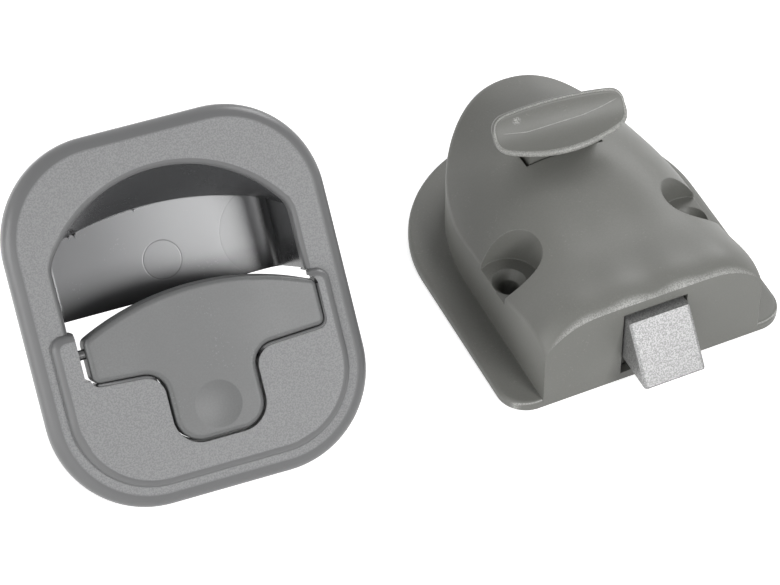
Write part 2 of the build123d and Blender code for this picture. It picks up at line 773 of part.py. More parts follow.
with BuildPart() as sleeve_screws:
    with BuildSketch(handle_back.offset(-sleeve_front - sleeve_plate)):
        with Locations(*ear_spots):
            Circle(ear_head_radius)
    extrude(amount=-ear_head_height)
    with BuildSketch(handle_back.offset(-sleeve_front - sleeve_plate)):
        with Locations(*ear_spots):
            Circle(ear_screw_radius)
    extrude(amount=ear_screw_length)
sleeve_screws.part.label = "sleeve_screws"
export_step(sleeve_screws.part, "parts/sleeve_screws.step")

# Plunger with its flat head under the lever's nose and a groove for the clip near its tip
clip_front = -(sleeve_reach - sleeve_rear_counterbore_depth) - clip_gap
with BuildPart() as drive_plunger:
    with BuildSketch(handle_back.offset(plunger_face)):
        with Locations((0, sleeve_y)):
            Circle(plunger_head_radius)
    extrude(amount=-plunger_head_thickness)
    with BuildSketch(handle_back.offset(plunger_face)):
        with Locations((0, sleeve_y)):
            Circle(plunger_radius)
    extrude(amount=-plunger_face - plunger_tip)
    chamfer(drive_plunger.edges().sort_by(handle_z)[0], plunger_tip_chamfer)
    with BuildSketch(handle_back.offset(clip_front)):
        with Locations((0, sleeve_y)):
            Circle(plunger_radius)
            Circle(plunger_radius - clip_groove_depth, mode=Mode.SUBTRACT)
    extrude(amount=-clip_thickness, mode=Mode.SUBTRACT)
drive_plunger.part.label = "drive_plunger"
export_step(drive_plunger.part, "parts/drive_plunger.step")

with BuildPart() as plunger_clip:
    with BuildSketch(handle_back.offset(clip_front)):
        with Locations((0, sleeve_y)):
            Circle(clip_radius)
            Circle(plunger_radius - clip_groove_depth, mode=Mode.SUBTRACT)
            with Locations((0, -clip_radius)):
                Rectangle(clip_mouth, 2 * clip_radius, mode=Mode.SUBTRACT)
    extrude(amount=-clip_thickness)
plunger_clip.part.label = "plunger_clip"
export_step(plunger_clip.part, "parts/plunger_clip.step")

coil_front = plunger_face - plunger_head_thickness - spring_end_gap - plunger_spring_wire / 2
coil_rear = -sleeve_front - sleeve_counterbore_depth + spring_end_gap + plunger_spring_wire / 2
coil_length = coil_front - coil_rear
with BuildPart() as plunger_spring:
    coil_start = handle_back.from_local_coords((0, sleeve_y, coil_rear))
    with BuildLine() as coil_path:
        Helix(
            pitch=coil_length / plunger_spring_turns,
            height=coil_length,
            radius=plunger_spring_radius,
            center=coil_start,
            direction=handle_back.z_dir,
        )
    with BuildSketch(Plane(coil_path.line @ 0, z_dir=coil_path.line % 0)):
        Circle(plunger_spring_wire / 2)
    sweep()
plunger_spring.part.label = "plunger_spring"
export_step(plunger_spring.part, "parts/plunger_spring.step")

# Brass inserts in the two posts
for name, (x, y) in zip(("left_insert", "right_insert"), post_spots):
    with BuildPart() as insert:
        with BuildSketch(handle_back.offset(-post_length)):
            with Locations((x, y)):
                Circle(insert_radius)
                Circle(insert_bore, mode=Mode.SUBTRACT)
        extrude(amount=insert_length)
    insert.part.label = name
    export_step(insert.part, "parts/" + name + ".step")
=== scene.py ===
import json
import math

import bpy
import numpy as np
from mathutils import Matrix, Vector


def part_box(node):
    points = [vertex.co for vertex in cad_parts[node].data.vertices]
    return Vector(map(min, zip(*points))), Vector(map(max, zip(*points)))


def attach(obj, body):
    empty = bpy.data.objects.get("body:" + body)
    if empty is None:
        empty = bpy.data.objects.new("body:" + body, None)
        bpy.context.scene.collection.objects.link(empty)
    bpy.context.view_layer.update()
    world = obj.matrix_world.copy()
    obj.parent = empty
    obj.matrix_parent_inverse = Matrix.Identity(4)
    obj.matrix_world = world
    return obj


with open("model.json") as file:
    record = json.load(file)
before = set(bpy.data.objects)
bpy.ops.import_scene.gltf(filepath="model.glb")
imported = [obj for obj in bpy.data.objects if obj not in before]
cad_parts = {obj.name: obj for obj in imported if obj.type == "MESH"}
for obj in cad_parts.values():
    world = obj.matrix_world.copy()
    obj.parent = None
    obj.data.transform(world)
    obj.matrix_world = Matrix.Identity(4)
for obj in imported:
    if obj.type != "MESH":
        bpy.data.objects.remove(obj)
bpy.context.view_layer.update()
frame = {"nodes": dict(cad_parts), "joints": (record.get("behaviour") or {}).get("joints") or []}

nodes = frame["nodes"]


# The stand for the picture. Both halves of the lock lie on a white table. The camera looks down on them from the
# front left at about 0.85 metres. A soft box at the right and behind throws the paddle's shadow forwards, a small
# one high in front and one at the left light the faces, and three weaker ones fill in the rest.
camera_target = Vector((-0.0447, 0.0204, 0.0))
camera_distance = 0.851
camera_yaw = math.radians(24.96)
camera_pitch = math.radians(46.9)
picture_width = 780
focal_length_in_pixels = 3600
sensor_width = 36.0
lamp_distance = 0.9
pure_white = (1.0, 1.0, 1.0, 1.0)

look = Vector((
    math.sin(camera_yaw) * math.cos(camera_pitch),
    math.cos(camera_yaw) * math.cos(camera_pitch),
    -math.sin(camera_pitch),
))
camera_data = bpy.data.cameras.new("camera")
camera_data.sensor_width = sensor_width
camera_data.lens = focal_length_in_pixels / picture_width * sensor_width
camera = bpy.data.objects.new("camera", camera_data)
camera.location = camera_target - look * camera_distance
camera.rotation_euler = look.to_track_quat("-Z", "Y").to_euler()
bpy.context.scene.collection.objects.link(camera)
bpy.context.scene.camera = camera


def soft_box(name, towards, size, power):
    """A square area lamp in a direction from the middle of the lock, turned to face it."""
    lamp = bpy.data.lights.new(name, "AREA")
    lamp.shape = "SQUARE"
    lamp.size = size
    lamp.energy = power
    stand = bpy.data.objects.new(name, lamp)
    direction = Vector(towards).normalized()
    stand.location = camera_target + direction * lamp_distance
    stand.rotation_euler = (-direction).to_track_quat("-Z", "Y").to_euler()
    bpy.context.scene.collection.objects.link(stand)


soft_box("right_back_box", towards=(0.68, 0.5, 0.6), size=0.45, power=3.7)
soft_box("back_box", towards=(0.1, 0.85, 0.5), size=0.6, power=0.5)
soft_box("left_back_box", towards=(-0.7, 0.6, 0.45), size=0.5, power=0.5)
soft_box("front_left_box", towards=(-0.7, -0.7, 0.4), size=0.6, power=1.5)
soft_box("front_high_box", towards=(0.24, -0.79, 0.56), size=0.26, power=3.8)
soft_box("left_box", towards=(-0.95, 0.0, 0.3), size=0.5, power=3.2)

world = bpy.data.worlds.new("studio")
world.use_nodes = True
bpy.context.scene.world = world
sky = world.node_tree
room_light = sky.nodes["Background"]
room_light.inputs["Color"].default_value = pure_white
room_light.inputs["Strength"].default_value = 0.03
white_wall = sky.nodes.new("ShaderNodeBackground")
white_wall.inputs["Color"].default_value = pure_white


def shows_white(tree):
    """1 for the rays that see the white background: those of the camera, of gloss and of glass."""
    ray = tree.nodes.new("ShaderNodeLightPath")
    share = ray.outputs["Is Camera Ray"]
    for kind in ("Is Glossy Ray", "Is Transmission Ray"):
        larger = tree.nodes.new("ShaderNodeMath")
        larger.operation = "MAXIMUM"
        tree.links.new(share, larger.inputs[0])
        tree.links.new(ray.outputs[kind], larger.inputs[1])
        share = larger.outputs[0]
    return share


wall_choice = sky.nodes.new("ShaderNodeMixShader")
sky.links.new(shows_white(sky), wall_choice.inputs[0])
sky.links.new(room_light.outputs[0], wall_choice.inputs[1])
sky.links.new(white_wall.outputs[0], wall_choice.inputs[2])
sky.links.new(wall_choice.outputs[0], sky.nodes["World Output"].inputs["Surface"])

table_half = 1.5
table_drop = 0.0001
table_mesh = bpy.data.meshes.new("table_top")
table_corners = np.array([(-1, -1, 0), (1, -1, 0), (1, 1, 0), (-1, 1, 0)]) * table_half
table_mesh.from_pydata(table_corners, [], [(0, 1, 2, 3)])
table_top = bpy.data.objects.new("table_top", table_mesh)
table_top.location.z = -table_drop
bpy.context.scene.collection.objects.link(table_top)

# The table's white laminate. The rays that see the background get extra white on top of the lit paint, so that the
# table shows white and still keeps the shadow where the lock stands.
table_paint = bpy.data.materials.new("table_paint")
table_paint.use_nodes = True
paint_tree = table_paint.node_tree
paint_shader = paint_tree.nodes["Principled BSDF"]
paint_shader.inputs["Base Color"].default_value = (0.9, 0.9, 0.9, 1.0)
paint_shader.inputs["Roughness"].default_value = 0.6
paint_glow = paint_tree.nodes.new("ShaderNodeEmission")
paint_glow.inputs["Strength"].default_value = 0.75
paint_sum = paint_tree.nodes.new("ShaderNodeAddShader")
paint_choice = paint_tree.nodes.new("ShaderNodeMixShader")
paint_tree.links.new(paint_shader.outputs[0], paint_sum.inputs[0])
paint_tree.links.new(paint_glow.outputs[0], paint_sum.inputs[1])
paint_tree.links.new(shows_white(paint_tree), paint_choice.inputs[0])
paint_tree.links.new(paint_shader.outputs[0], paint_choice.inputs[1])
paint_tree.links.new(paint_sum.outputs[0], paint_choice.inputs[2])
paint_tree.links.new(paint_choice.outputs[0], paint_tree.nodes["Material Output"].inputs["Surface"])
table_mesh.materials.append(table_paint)


# Case housing. It is one moulding of warm grey nylon: the foot flange, the hood, the two screw wells and the
# mouth for the bolt. The mould was polished, so the skin is satin, with a very fine orange peel and slow changes
# of tone. It is rubbed in a few light specks, and a painted highlight lies as a pale grainy band along the
# rounded edge over the front.
case_colour = (0.196, 0.197, 0.182)
case_edge_highlight_colour = (0.66, 0.66, 0.64)
case_edge_highlight_grains = 3400.0
case_edge_highlight_full = 0.002
case_edge_highlight_end = 0.0035
forwards = (0.0, -1.0, 0.0)


def sockets(tree, takes, gives):
    """Names the inputs, with their start values, and the outputs of a node group."""
    for name, kind, value in takes:
        socket = tree.interface.new_socket(name, in_out="INPUT", socket_type=kind)
        if value is not None:
            socket.default_value = value
    for name, kind in gives:
        tree.interface.new_socket(name, in_out="OUTPUT", socket_type=kind)
    return tree.nodes.new("NodeGroupInput"), tree.nodes.new("NodeGroupOutput")


def sums(tree, operation, *values, clamp=False):
    """A Math node fed with outputs of other nodes or plain numbers. Returns its output."""
    node = tree.nodes.new("ShaderNodeMath")
    node.operation = operation
    node.use_clamp = clamp
    for place, value in enumerate(values):
        if isinstance(value, (int, float)):
            node.inputs[place].default_value = value
        else:
            tree.links.new(value, node.inputs[place])
    return node.outputs[0]


def stretched(tree, value, low, high, to_low=0.0, to_high=1.0):
    """Takes the range low to high of a value smoothly to a new range, and holds it there."""
    node = tree.nodes.new("ShaderNodeMapRange")
    node.interpolation_type = "SMOOTHSTEP"
    tree.links.new(value, node.inputs["Value"])
    node.inputs["From Min"].default_value = low
    node.inputs["From Max"].default_value = high
    node.inputs["To Min"].default_value = to_low
    node.inputs["To Max"].default_value = to_high
    return node.outputs["Result"]


def noise(tree, vector, scale, detail=2.0, roughness=0.5):
    """Noise on a vector. The scale is a number or the output of another node."""
    node = tree.nodes.new("ShaderNodeTexNoise")
    tree.links.new(vector, node.inputs["Vector"])
    if isinstance(scale, (int, float)):
        node.inputs["Scale"].default_value = scale
    else:
        tree.links.new(scale, node.inputs["Scale"])
    node.inputs["Detail"].default_value = detail
    node.inputs["Roughness"].default_value = roughness
    return node.outputs["Fac"]


def blended(tree, share, first, second):
    """Mixes two colours by a share from 0 to 1. Each is three numbers or the output of another node. A Mix node
    keeps its colours in the inputs 6 and 7, and their mix in the output 2."""
    node = tree.nodes.new("ShaderNodeMix")
    node.data_type = "RGBA"
    tree.links.new(share, node.inputs["Factor"])
    for socket, colour in ((node.inputs[6], first), (node.inputs[7], second)):
        if isinstance(colour, tuple):
            socket.default_value = (*colour, 1.0)
        else:
            tree.links.new(colour, socket)
    return node.outputs[2]


# Group for the skin that the mould's steel leaves on plastic: Height is the grain itself, Speckle the light and
# dark grains of the same pattern, and Flow the slow change of tone where the melt ran. Metals use it for grain.
flows_per_metre = 55.0
mould_skin = bpy.data.node_groups.new("mould_skin", "ShaderNodeTree")
skin_in, skin_out = sockets(
    mould_skin,
    [("Vector", "NodeSocketVector", None), ("Grains per metre", "NodeSocketFloat", 2500.0)],
    [("Height", "NodeSocketFloat"), ("Speckle", "NodeSocketFloat"), ("Flow", "NodeSocketFloat")],
)
grain_fac = noise(mould_skin, skin_in.outputs["Vector"], skin_in.outputs["Grains per metre"], 1.5, 0.6)
flow_fac = noise(mould_skin, skin_in.outputs["Vector"], flows_per_metre, 2.0, 0.45)
mould_skin.links.new(grain_fac, skin_out.inputs["Height"])
mould_skin.links.new(stretched(mould_skin, grain_fac, 0.36, 0.64), skin_out.inputs["Speckle"])
mould_skin.links.new(stretched(mould_skin, flow_fac, 0.15, 0.85), skin_out.inputs["Flow"])

# Group for the marks of handling: small specks that come only in patches.
patches_per_metre = 130.0
specks_per_metre = 1900.0
rub_marks = bpy.data.node_groups.new("rub_marks", "ShaderNodeTree")
rub_in, rub_out = sockets(
    rub_marks,
    [("Vector", "NodeSocketVector", None), ("Amount", "NodeSocketFloat", 0.5)],
    [("Mask", "NodeSocketFloat")],
)
patch_fac = noise(rub_marks, rub_in.outputs["Vector"], patches_per_metre, 1.0)
speck_fac = noise(rub_marks, rub_in.outputs["Vector"], specks_per_metre, 1.0, 0.7)
rub_patch = stretched(rub_marks, patch_fac, 0.5, 0.68)
rub_speck = stretched(rub_marks, speck_fac, 0.62, 0.72)
rub_in_patch = sums(rub_marks, "MULTIPLY", rub_patch, rub_speck)
rub_marks.links.new(sums(rub_marks, "MULTIPLY", rub_in_patch, rub_in.outputs["Amount"]), rub_out.inputs["Mask"])


def placed_group(tree, group, vector, **values):
    """Puts a node group into a material, feeds it the vector and sets its other inputs by name."""
    node = tree.nodes.new("ShaderNodeGroup")
    node.node_tree = group
    tree.links.new(vector, node.inputs["Vector"])
    for name, value in values.items():
        node.inputs[name.replace("_", " ")].default_value = value
    return node


def moulded_plastic(name, colour, roughness, grains, depth, speckle, flow, rubbed, edge=0.0004):
    """Moulded plastic on Object coordinates. Its tone changes by the shares speckle and flow, the grain stands up
    by depth metres, rubbed spots turn paler and rougher, and sharp edges look broken by a radius of edge metres
    and are painted pale, partly as wear and partly as a painted highlight. Returns the material, its shader, the
    coordinate node, the skin group, the colour so far and the bump, for a piece that has more on it."""
    edge_wear_and_highlight = 0.35
    still_flat = 0.99
    on_the_edge = 0.86
    rubbed_and_highlit_paler = 1.7
    rubbed_rougher = 0.2
    gloss_change = 0.02
    material = bpy.data.materials.new(name)
    material.use_nodes = True
    tree = material.node_tree
    shader = tree.nodes["Principled BSDF"]
    place = tree.nodes.new("ShaderNodeTexCoord")
    skin = placed_group(tree, mould_skin, place.outputs["Object"], Grains_per_metre=grains)
    rub = placed_group(tree, rub_marks, place.outputs["Object"], Amount=rubbed)
    darker = tuple(c * (1 - speckle) for c in colour)
    lighter = tuple(c * (1 + speckle) for c in colour)
    grained = blended(tree, skin.outputs["Speckle"], darker, lighter)
    deeper = tuple(c * (1 - 2 * flow) for c in colour)
    flow_share = stretched(tree, skin.outputs["Flow"], 0.0, 1.0, 0.0, 0.5)
    flowed = blended(tree, flow_share, grained, deeper)
    paler = tuple(min(1.0, c * rubbed_and_highlit_paler) for c in colour)
    # The edges that the Bevel node finds turn pale: partly wear and partly a painted highlight.
    broken_edge = tree.nodes.new("ShaderNodeBevel")
    broken_edge.samples = 6
    broken_edge.inputs["Radius"].default_value = edge
    surface = tree.nodes.new("ShaderNodeNewGeometry")
    turned = tree.nodes.new("ShaderNodeVectorMath")
    turned.operation = "DOT_PRODUCT"
    tree.links.new(broken_edge.outputs["Normal"], turned.inputs[0])
    tree.links.new(surface.outputs["Normal"], turned.inputs[1])
    edge_wear_and_highlight_share = stretched(tree, turned.outputs["Value"], still_flat, on_the_edge, 0.0, edge_wear_and_highlight)
    edge_wear_and_highlight_share = sums(tree, "MULTIPLY", edge_wear_and_highlight_share, stretched(tree, skin.outputs["Speckle"], 0.0, 0.7, 0.4, 1.0))
    rub_and_edge_highlight_share = sums(tree, "MAXIMUM", rub.outputs["Mask"], edge_wear_and_highlight_share)
    worn_and_highlit = blended(tree, rub_and_edge_highlight_share, flowed, paler)
    tree.links.new(worn_and_highlit, shader.inputs["Base Color"])
    rough = stretched(tree, skin.outputs["Flow"], 0.0, 1.0, roughness - gloss_change, roughness + gloss_change)
    rough = sums(tree, "ADD", rough, sums(tree, "MULTIPLY", rub.outputs["Mask"], rubbed_rougher))
    tree.links.new(rough, shader.inputs["Roughness"])
    bump = tree.nodes.new("ShaderNodeBump")
    bump.inputs["Strength"].default_value = 1.0
    bump.inputs["Distance"].default_value = depth
    tree.links.new(skin.outputs["Height"], bump.inputs["Height"])
    tree.links.new(broken_edge.outputs["Normal"], bump.inputs["Normal"])
    tree.links.new(bump.outputs["Normal"], shader.inputs["Normal"])
    return material, shader, place, skin, worn_and_highlit, bump


def coat_nodes(material, *names):
    """Gives carried-over nodes their finish."""
    for name in names:
        mesh = nodes[name].data
        mesh.materials.clear()
        mesh.materials.append(material)


def facing(tree, place, direction, low, high):
    """1 where the surface faces a direction and 0 where it has turned away, from the object's own normals."""
    dot = tree.nodes.new("ShaderNodeVectorMath")
    dot.operation = "DOT_PRODUCT"
    tree.links.new(place.outputs["Normal"], dot.inputs[0])
    dot.inputs[1].default_value = direction
    return stretched(tree, dot.outputs["Value"], low, high)


case_nylon, case_shader, case_place, _, case_worn_and_highlit, _ = moulded_plastic(
    "case_nylon", case_colour, roughness=0.5, grains=2300.0, depth=0.000006, speckle=0.03, flow=0.04, rubbed=0.3
)
case_tree = case_nylon.node_tree
case_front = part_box("case_housing")[0].y
case_axes = case_tree.nodes.new("ShaderNodeSeparateXYZ")
case_tree.links.new(case_place.outputs["Object"], case_axes.inputs["Vector"])
# Painted highlight: a pale grainy band on the rounded edge between the front face and the top.
painted_edge_highlight = sums(
    case_tree, "MULTIPLY",
    facing(case_tree, case_place, forwards, 0.46, 0.68),
    sums(case_tree, "SUBTRACT", 1.0, facing(case_tree, case_place, forwards, 0.66, 0.86)),
)
painted_edge_highlight = sums(
    case_tree, "MULTIPLY", painted_edge_highlight,
    stretched(case_tree, case_axes.outputs["Y"], case_front + case_edge_highlight_full, case_front + case_edge_highlight_end, 1.0, 0.0),
)
edge_highlight_grain = noise(case_tree, case_place.outputs["Object"], case_edge_highlight_grains, 1.0, 0.7)
painted_edge_highlight = sums(case_tree, "MULTIPLY", painted_edge_highlight, stretched(case_tree, edge_highlight_grain, 0.36, 0.62, 0.25, 0.8))
case_with_edge_highlight = blended(case_tree, painted_edge_highlight, case_worn_and_highlit, case_edge_highlight_colour)
case_tree.links.new(case_with_edge_highlight, case_shader.inputs["Base Color"])
coat_nodes(case_nylon, "case_housing")


# Back plate that closes the case from behind, and its four screws. The plate is the same nylon from a coarser
# mould, since nobody sees it once the case is on the door. The screws are zinc plated steel.
plate_nylon = moulded_plastic(
    "plate_nylon", (0.185, 0.186, 0.173), roughness=0.5, grains=1500.0, depth=0.000014, speckle=0.06, flow=0.05,
    rubbed=0.3,
)[0]
coat_nodes(plate_nylon, "case_back_plate")


def bare_metal(name, colour, roughness, grains, depth, speckle, metallic=1.0, along=(1.0, 1.0, 1.0)):
    """Metal with a fine granular or drawn surface, glossier where the grain is light. along stretches the grain: a
    small number in one direction makes lines in it."""
    gloss_change = 0.08
    material = bpy.data.materials.new(name)
    material.use_nodes = True
    tree = material.node_tree
    shader = tree.nodes["Principled BSDF"]
    place = tree.nodes.new("ShaderNodeTexCoord")
    stretch = tree.nodes.new("ShaderNodeMapping")
    stretch.inputs["Scale"].default_value = along
    tree.links.new(place.outputs["Object"], stretch.inputs["Vector"])
    skin = placed_group(tree, mould_skin, stretch.outputs["Vector"], Grains_per_metre=grains)
    darker = tuple(c * (1 - speckle) for c in colour)
    lighter = tuple(min(1.0, c * (1 + speckle)) for c in colour)
    tree.links.new(blended(tree, skin.outputs["Speckle"], darker, lighter), shader.inputs["Base Color"])
    rough = stretched(tree, skin.outputs["Speckle"], 0.0, 1.0, roughness + gloss_change, roughness - gloss_change)
    tree.links.new(rough, shader.inputs["Roughness"])
    bump = tree.nodes.new("ShaderNodeBump")
    bump.inputs["Distance"].default_value = depth
    tree.links.new(skin.outputs["Height"], bump.inputs["Height"])
    tree.links.new(bump.outputs["Normal"], shader.inputs["Normal"])
    shader.inputs["Metallic"].default_value = metallic
    return material


zinc_plate = bare_metal(
    "zinc_plate", (0.62, 0.63, 0.62), roughness=0.34, grains=1800.0, depth=0.000004, speckle=0.1
)
coat_nodes(zinc_plate, "back_plate_screws")


# Latch bolt. It is a hollow wedge cast in zinc and sprayed silver: the paint's metal flakes make it granular all
# over, and half glossy.
silver_paint = bare_metal(
    "silver_paint", (0.31, 0.31, 0.31), roughness=0.42, grains=3000.0, depth=0.00003, speckle=0.22, metallic=0.6
)
coat_nodes(silver_paint, "latch_bolt")


# Slide under the bolt, the pin that joins the two, the guide rod in the spring and the bolt spring. The slide and
# the rod are moulded in the case's nylon, the pin is drawn steel, and the spring is wound from bright wire.
slide_nylon = moulded_plastic(
    "slide_nylon", (0.19, 0.19, 0.178), roughness=0.42, grains=2000.0, depth=0.000008, speckle=0.05, flow=0.05,
    rubbed=0.5,
)[0]
coat_nodes(slide_nylon, "bolt_slide", "spring_guide")
drawn_steel = bare_metal(
    "drawn_steel", (0.56, 0.56, 0.57), roughness=0.3, grains=1600.0, depth=0.000005, speckle=0.12,
    along=(1.0, 0.06, 1.0),
)
coat_nodes(drawn_steel, "bolt_pin")
spring_wire = bare_metal(
    "spring_wire", (0.5, 0.5, 0.52), roughness=0.28, grains=1200.0, depth=0.000004, speckle=0.1
)
coat_nodes(spring_wire, "bolt_spring")


# Thumb paddle and the screw that holds it. The paddle is a hollowed leaf on a post, moulded in the case's nylon.
# Its two mould halves met across the leaf, which left a fine raised line, and the thumb has roughened the rim.
leaf_turn = math.radians(-10.6)
leaf_tilt = math.radians(45.0)
leaf_roll = math.radians(4.0)
leaf_middle = np.array((-0.0008, 0.0207, 0.0375))
leaf_hollow_centre = 0.0115
leaf_hollow_radius = 0.0115
witness_half_width = 0.00013
witness_height = 0.00007
witness_sunk = 0.00001
scuff_u = -0.01013
scuff_v = 0.00307
scuff_full = 0.0003
scuff_end = 0.0013
scuff_grains = 2600.0
scuff_colour = (0.7, 0.7, 0.68)
witness_u = np.array((-14.35, -8.24, -7.14, -1.13, 5.58, 9.99, 14.91)) * 0.001
witness_v = np.array((0.87, -0.08, -0.03, 0.31, 0.65, 1.37, 2.59)) * 0.001

about_z = Matrix.Rotation(leaf_turn, 3, "Z")
leaf_face = about_z @ Vector((0.0, -math.sin(leaf_tilt), math.cos(leaf_tilt)))
leaf_across = Matrix.Rotation(leaf_roll, 3, leaf_face) @ (about_z @ Vector((1.0, 0.0, 0.0)))
leaf_up = leaf_face.cross(leaf_across)


def grid_mesh(name, points, material, closed_across=False, closed_along=False):
    """Makes a mesh from an array of rows by columns by 3. Neighbouring points make a quad, and the last column
    joins the first one when the surface is closed across, as the last row does when it is closed along."""
    rows, columns = points.shape[:2]
    row, column = np.meshgrid(
        np.arange(rows if closed_along else rows - 1),
        np.arange(columns if closed_across else columns - 1),
        indexing="ij",
    )
    after = (column + 1) % columns
    beyond = (row + 1) % rows
    quads = np.stack(
        (row * columns + column, row * columns + after, beyond * columns + after, beyond * columns + column),
        axis=-1,
    ).reshape(-1, 4)
    mesh = bpy.data.meshes.new(name)
    mesh.from_pydata(points.reshape(-1, 3), [], quads)
    mesh.update()
    mesh.polygons.foreach_set("use_smooth", np.ones(len(mesh.polygons), dtype=bool))
    mesh.materials.append(material)
    piece = bpy.data.objects.new(name, mesh)
    bpy.context.scene.collection.objects.link(piece)
    return piece


def leaf_front(u, v, lift):
    """Point of the leaf's hollow front: a round trough about an axis in front of it, u across and v up, lifted
    off the surface by lift towards that axis."""
    depth = leaf_hollow_centre - np.sqrt((leaf_hollow_radius - lift) ** 2 - v ** 2)
    return (
        leaf_middle
        + u[..., None] * np.array(leaf_across)
        + v[..., None] * np.array(leaf_up)
        + depth[..., None] * np.array(leaf_face)
    )


def paddle_witness_line():
    """A low bead carried along the parting line: its cross-section is half a cosine wave, and both its width and
    height fade at the ends and waver a little along the line."""
    along = np.linspace(0.0, 1.0, 161)
    u = witness_u[0] + along * (witness_u[-1] - witness_u[0])
    v = np.interp(u, witness_u, witness_v)
    kernel = np.hanning(23)
    v = np.convolve(np.pad(v, 11, mode="reflect", reflect_type="odd"), kernel / kernel.sum(), mode="valid")
    fade = np.clip(np.minimum(along, 1 - along) * 14, 0.0, 1.0)
    waver = fade * (0.8 + 0.2 * np.sin(along * 61) * np.sin(along * 23 + 1))
    across = np.linspace(-1.0, 1.0, 7)
    grid_u = np.repeat(u[:, None], len(across), axis=1)
    grid_v = v[:, None] + across[None, :] * witness_half_width * waver[:, None]
    rise = np.cos(across * math.pi / 2)[None, :] * witness_height * waver[:, None] - witness_sunk
    return leaf_front(grid_u, grid_v, rise)


paddle_nylon, paddle_shader, paddle_place, _, paddle_worn_and_highlit, _ = moulded_plastic(
    "paddle_nylon", case_colour, roughness=0.45, grains=2300.0, depth=0.000006, speckle=0.03, flow=0.05, rubbed=0.4,
    edge=0.0006,
)
paddle_tree = paddle_nylon.node_tree
scuff_at = leaf_front(np.array(scuff_u), np.array(scuff_v), 0.0)
scuff_off = paddle_tree.nodes.new("ShaderNodeVectorMath")
scuff_off.operation = "DISTANCE"
paddle_tree.links.new(paddle_place.outputs["Object"], scuff_off.inputs[0])
scuff_off.inputs[1].default_value = scuff_at
scuff_grain = noise(paddle_tree, paddle_place.outputs["Object"], scuff_grains, 1.0, 0.7)
scuff = sums(
    paddle_tree, "MULTIPLY",
    stretched(paddle_tree, scuff_off.outputs["Value"], scuff_full, scuff_end, 1.0, 0.0),
    stretched(paddle_tree, scuff_grain, 0.44, 0.58, 0.0, 0.7),
)
paddle_marked = blended(paddle_tree, scuff, paddle_worn_and_highlit, scuff_colour)
paddle_tree.links.new(paddle_marked, paddle_shader.inputs["Base Color"])
coat_nodes(paddle_nylon, "thumb_paddle")
coat_nodes(zinc_plate, "paddle_screw")
witness_nylon = moulded_plastic(
    "witness_nylon", (0.46, 0.46, 0.44), roughness=0.35, grains=2300.0, depth=0.000005, speckle=0.08, flow=0.05,
    rubbed=0.6,
)[0]
paddle_witness = grid_mesh("paddle_witness_line", paddle_witness_line(), witness_nylon)
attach(paddle_witness, "latch")

# The leaf's rim is a rounded bead, thickest along its lower side. The thumb has worn it rough, and its pale
# colour is partly that wear and partly a painted highlight.
rim_half_u = np.array((0.0, 3.0, 6.0, 9.0, 12.0, 14.2, 15.37, 15.8, 15.75, 15.33, 14.18, 12.0, 9.0, 6.0, 3.0)) * 0.001
rim_half_v = np.array((
    -6.3, -6.17, -5.8, -5.16, -4.27, -3.4, -2.23, -0.4, 1.72, 3.3, 4.45, 4.98, 5.32, 5.56, 5.7
)) * 0.001
rim_u = np.concatenate((rim_half_u, (0.0,), -rim_half_u[:0:-1]))
rim_v = np.concatenate((rim_half_v, (0.00575,), rim_half_v[:0:-1]))
rim_radius_v = (-0.0066, -0.002, 0.003)
rim_radius = (0.0008, 0.0006, 0.00022)


def paddle_rim():
    """A closed bead carried round the leaf's outline: its path is a smoothed loop through the rim's points, and its
    cross-section a circle whose radius goes from 0.2 mm above to 0.8 mm below and wavers a little."""
    count = 240
    knots = np.arange(len(rim_u) + 1)
    along = np.arange(count) * len(rim_u) / count
    kernel = np.hanning(15)
    kernel = kernel / kernel.sum()
    u, v = (
        np.convolve(np.pad(np.interp(along, knots, np.append(rim, rim[:1])), 7, mode="wrap"), kernel, mode="valid")
        for rim in (rim_u, rim_v)
    )
    radius = np.interp(v, rim_radius_v, rim_radius)
    radius = radius * (1 + 0.06 * np.sin(u * 5200) * np.sin(v * 3700 + 1))
    middle = leaf_front(u, v, -0.7 * radius - 0.0001)
    onward = np.roll(middle, -1, axis=0) - np.roll(middle, 1, axis=0)
    onward = onward / np.linalg.norm(onward, axis=1)[:, None]
    side = np.cross(onward, np.array(leaf_face))
    side = side / np.linalg.norm(side, axis=1)[:, None]
    rise = np.cross(side, onward)
    turn = np.linspace(0, 2 * math.pi, 14, endpoint=False)[None, :, None]
    return middle[:, None] + radius[:, None, None] * (np.cos(turn) * side[:, None] + np.sin(turn) * rise[:, None])


rim_worn_and_highlit_nylon = moulded_plastic(
    "rim_worn_and_highlit_nylon", (0.4, 0.4, 0.38), roughness=0.36, grains=3200.0, depth=0.00006, speckle=0.3, flow=0.05, rubbed=0.9
)[0]
paddle_bead = grid_mesh("paddle_rim_bead", paddle_rim(), rim_worn_and_highlit_nylon, closed_across=True, closed_along=True)
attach(paddle_bead, "latch")


# Handle bezel. It is one moulding of neutral grey plastic: a plate with a rounded rim, a raised plateau round the
# lever, the arch and the posts behind. The flat faces were spark eroded to a fine leather grain in the mould; the
# rim, the plateau's sides and the arch's edge were polished and stay smooth. Every surface that turns away from
# the plate's face is coloured darker as painted shade.
bezel_colour = (0.29, 0.292, 0.296)
lever_joint = next(joint for joint in frame["joints"] if joint["name"] == "lever_rock")
push_joint = next(joint for joint in frame["joints"] if joint["name"] == "plunger_push")
handle_x = Vector(lever_joint["axis"]).normalized()
handle_face = -Vector(push_joint["axis"]).normalized()
handle_up = handle_face.cross(handle_x)
pivot_y = -0.0043
pivot_z = 0.0048
flat_full = 0.999
flat_none = 0.985
handle_middle = Vector(lever_joint["pos_m"]) - handle_up * pivot_y - handle_face * pivot_z


